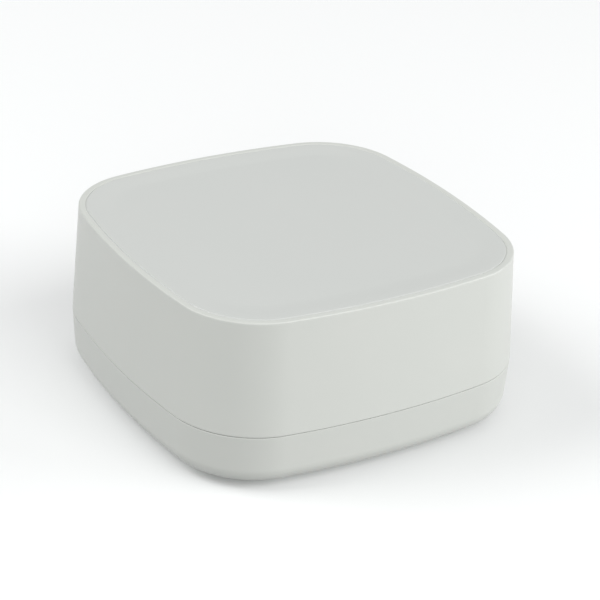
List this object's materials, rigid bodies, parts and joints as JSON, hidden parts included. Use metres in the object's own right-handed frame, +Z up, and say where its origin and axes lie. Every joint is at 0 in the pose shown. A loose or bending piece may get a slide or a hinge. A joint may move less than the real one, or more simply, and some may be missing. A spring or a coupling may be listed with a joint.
{
  "type": "smart home hub",
  "caption": "Square table-top smart home hub with rounded corners, an inset top panel, a two-part shell and rear network and power sockets.",
  "frame": {"origin": "middle of the plane that the four feet stand on", "axes": "+Z up; the front faces -Y; the sockets and the two buttons are in the back wall, on +Y; +X is to the right seen from the front"},
  "size_m": [0.07, 0.07, 0.0318],
  "materials": {
    "shell_white": "fine satin moulded ABS",
    "panel_white": "fine satin moulded ABS",
    "foot_rubber": "matt grey elastomer",
    "label_film": "matt printed film, left blank",
    "screw_steel": "zinc plated, satin",
    "board_green": "solder resist, semi gloss",
    "chip_black": "moulded epoxy, matt",
    "thermal_pad": "soft silicone, matt",
    "shield_tin": "tin plated sheet, satin",
    "sink_aluminium": "extruded, bead blasted",
    "socket_steel": "nickel plated sheet",
    "socket_black": "moulded, matt",
    "contact_gold": "gold plated",
    "light_lens": "milky lens",
    "button_grey": "satin moulded ABS",
    "switch_dark": "moulded, matt",
    "plunger_red": "moulded, satin",
    "led_white": "moulded, gloss",
    "pipe_clear": "clear acrylic",
    "module_blue": "solder resist, semi gloss",
    "lead_black": "matt sheath",
    "capacitor_can": "drawn can, satin",
    "crystal_can": "drawn can, satin",
    "passive_tan": "fired ceramic"
  },
  "bodies": {
    "housing": {"upper_housing": "shell_white", "top_panel": "panel_white", "base_housing": "shell_white", "foot_front_left": "foot_rubber", "foot_front_right": "foot_rubber", "foot_rear_left": "foot_rubber", "foot_rear_right": "foot_rubber", "rating_label": "label_film", "housing_screws": "screw_steel", "main_board": "board_green", "board_screws": "screw_steel", "processor": "chip_black", "memory_chip": "chip_black", "flash_chip": "chip_black", "thermal_pad": "thermal_pad", "processor_shield": "shield_tin", "heat_sink": "sink_aluminium", "network_socket_shield": "socket_steel", "network_socket_body": "socket_black", "network_socket_contacts": "contact_gold", "network_socket_lights": "light_lens", "network_transformer": "chip_black", "power_socket_shell": "socket_steel", "power_socket_tongue": "socket_black", "power_socket_contacts": "contact_gold", "pairing_switch": "switch_dark", "reset_switch": "switch_dark", "status_led": "led_white", "light_pipe": "pipe_clear", "radio_module_board": "module_blue", "radio_module_shield": "shield_tin", "radio_antenna": "contact_gold", "wifi_shield": "shield_tin", "antenna_left": "board_green", "antenna_right": "board_green", "antenna_lead_left": "lead_black", "antenna_lead_right": "lead_black", "antenna_sockets": "contact_gold", "antenna_plugs": "contact_gold", "bulk_capacitors": "capacitor_can", "power_inductor": "chip_black", "regulator_chip": "chip_black", "crystal": "crystal_can", "chip_passives": "passive_tan"},
    "pairing_button": {"pairing_button": "button_grey", "pairing_plunger": "plunger_red"},
    "reset_plunger": {"reset_plunger": "led_white"}
  },
  "joints": [
    {"name": "pairing_press", "type": "slide", "parent": "housing", "child": "pairing_button", "axis": [0, -1, 0], "range_m": [0, 0.0004], "stiffness_N_per_m": 3000, "springref_m": -0.0001},
    {"name": "reset_press", "type": "slide", "parent": "housing", "child": "reset_plunger", "axis": [0, -1, 0], "range_m": [0, 0.00025], "stiffness_N_per_m": 3000, "springref_m": -0.0001}
  ]
}
